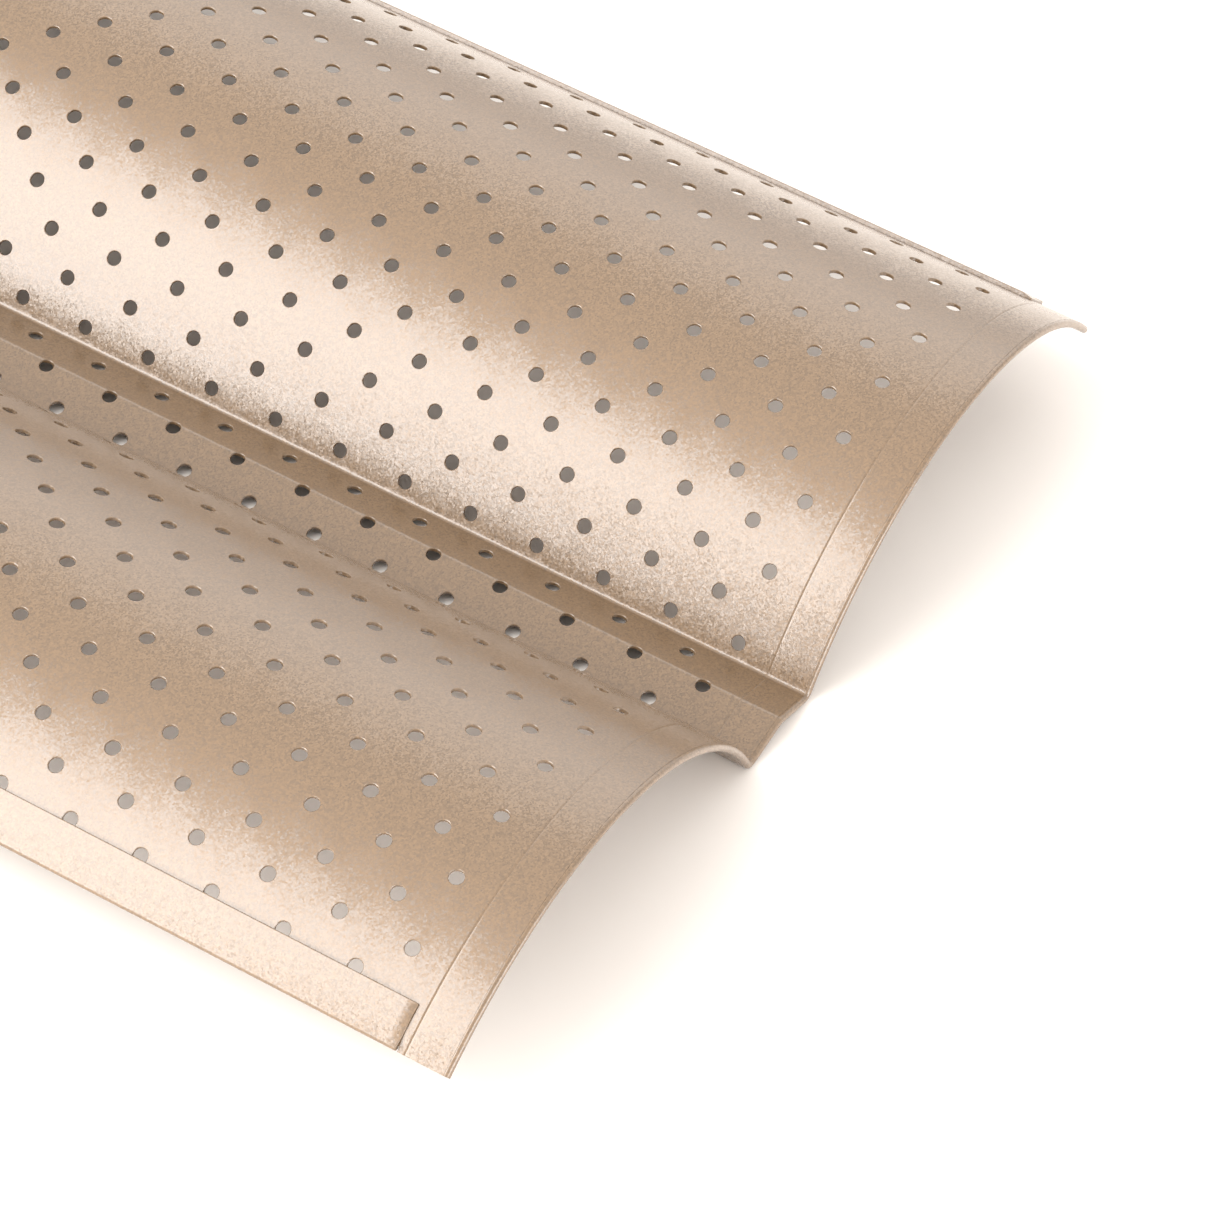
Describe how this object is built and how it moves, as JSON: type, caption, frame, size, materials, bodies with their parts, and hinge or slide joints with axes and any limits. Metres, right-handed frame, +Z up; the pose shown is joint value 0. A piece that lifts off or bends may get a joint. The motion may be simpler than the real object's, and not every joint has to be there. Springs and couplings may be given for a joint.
{
  "type": "baguette tray",
  "caption": "Perforated baguette tray with round channels side by side, lying open side down, with folded hems on its edges.",
  "frame": {"origin": "middle of the tray's bounding box at the level it rests on: between the two creases of the centre ridge, which touch the table", "axes": "+X along the channels, +Y across them towards the side whose flank is a little longer, +Z up out of the humps' outer faces. The tray lies open side down, as a tray is laid to drain or to be stored; in use it is turned over about X, so its channels open upwards, along -Z of this frame"},
  "size_m": [0.3824, 0.1632, 0.024],
  "materials": {
    "coated_steel": "satin metallic non-stick coating, champagne gold"
  },
  "bodies": {
    "root": {"trough_near": "coated_steel", "trough_far": "coated_steel", "centre_ridge": "coated_steel", "side_hem_near": "coated_steel", "side_hem_far": "coated_steel", "end_hem_left": "coated_steel", "end_hem_right": "coated_steel"}
  },
  "joints": []
}
